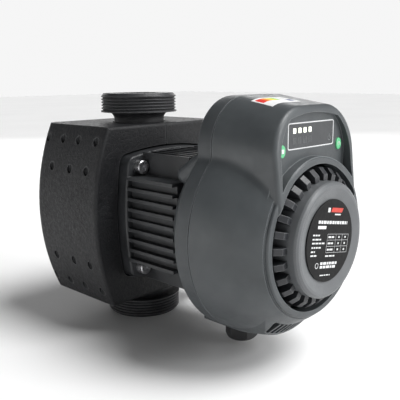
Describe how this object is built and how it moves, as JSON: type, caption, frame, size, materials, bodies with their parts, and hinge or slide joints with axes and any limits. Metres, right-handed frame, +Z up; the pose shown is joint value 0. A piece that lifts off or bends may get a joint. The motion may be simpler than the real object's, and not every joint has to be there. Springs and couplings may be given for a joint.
{
  "type": "heating circulator pump",
  "caption": "Wet-rotor heating circulator with union threads, foam insulation, ribbed motor and electronic head with push buttons.",
  "frame": {"origin": "centre of the lower (suction) port's sealing face", "axes": "+Z up along the pipe axis to the discharge port, -Y along the shaft towards the name plate, +X to the right of someone facing the name plate"},
  "size_m": [0.142, 0.23, 0.18],
  "materials": {
    "cast_iron_black": "black electrocoated casting",
    "stainless": "deep-drawn stainless",
    "foam_black": "expanded bead foam",
    "motor_black": "satin black paint on die casting",
    "zinc_steel": "bright zinc plating",
    "seal_rubber": "matt",
    "ceramic": "ground ceramic",
    "carbon": "carbon graphite",
    "holder_rubber": "moulded rubber",
    "laminations": "stacked electrical steel",
    "winding_copper": "enamelled wire",
    "magnet": "sintered magnet",
    "impeller_plastic": "glass-filled moulding",
    "head_plastic": "fine satin grain",
    "rear_plastic": "fine satin grain",
    "grille_black": "satin moulding",
    "disc_grey": "satin light grey",
    "plate_black": "printed foil",
    "window_dark": "smoked window",
    "print_white": "printed line",
    "light_white": "diffusing light pipe",
    "button_green": "soft-touch button",
    "board_green": "solder mask",
    "part_black": "moulded component",
    "aluminium": "raw extrusion",
    "capacitor_sleeve": "shrink sleeve",
    "coil_wire": "enamelled wire",
    "terminal_grey": "moulded terminal",
    "gland_black": "polyamide",
    "label_paper": "printed film"
  },
  "bodies": {
    "pump": {"pump_housing": "cast_iron_black", "wear_ring": "stainless", "bearing_plate": "stainless", "rotor_can": "stainless", "insulation_left": "foam_black", "insulation_right": "foam_black", "motor_housing": "motor_black", "motor_screws": "zinc_steel", "cover_screws": "zinc_steel", "housing_seal": "seal_rubber", "head_seal": "seal_rubber", "gland_seal": "seal_rubber", "rear_bearing": "ceramic", "front_bearing": "ceramic", "thrust_washer": "carbon", "rear_bearing_holder": "holder_rubber", "stator_core": "laminations", "stator_windings": "winding_copper", "head_front_cover": "head_plastic", "head_rear_cover": "rear_plastic", "cooling_grille": "grille_black", "vent_slats": "grille_black", "centre_disc": "disc_grey", "name_plate": "plate_black", "display_window": "window_dark", "display_frame": "print_white", "display_lights": "light_white", "display_board": "board_green", "power_board": "board_green", "key_switches": "part_black", "power_module": "part_black", "motor_lead": "part_black", "heat_sink": "aluminium", "capacitors": "capacitor_sleeve", "choke_coil": "coil_wire", "terminal_block": "terminal_grey", "gland_body": "gland_black", "gland_locknut": "gland_black", "gland_nut": "gland_black", "energy_label": "label_paper"},
    "rotor": {"shaft": "ceramic", "rotor_magnet": "magnet", "rotor_jacket": "stainless", "impeller": "impeller_plastic"},
    "left_button": {"button_left": "button_green"},
    "right_button": {"button_right": "button_green"}
  },
  "joints": [
    {"name": "rotor_spin", "type": "hinge", "parent": "pump", "child": "rotor", "pos_m": [0, -0.05, 0.09], "axis": [0, -1, 0], "continuous": true},
    {"name": "left_button_press", "type": "slide", "parent": "pump", "child": "left_button", "axis": [0, 1, 0], "range_m": [0, 0.0008], "stiffness_N_per_m": 600},
    {"name": "right_button_press", "type": "slide", "parent": "pump", "child": "right_button", "axis": [0, 1, 0], "range_m": [0, 0.0008], "stiffness_N_per_m": 600}
  ]
}
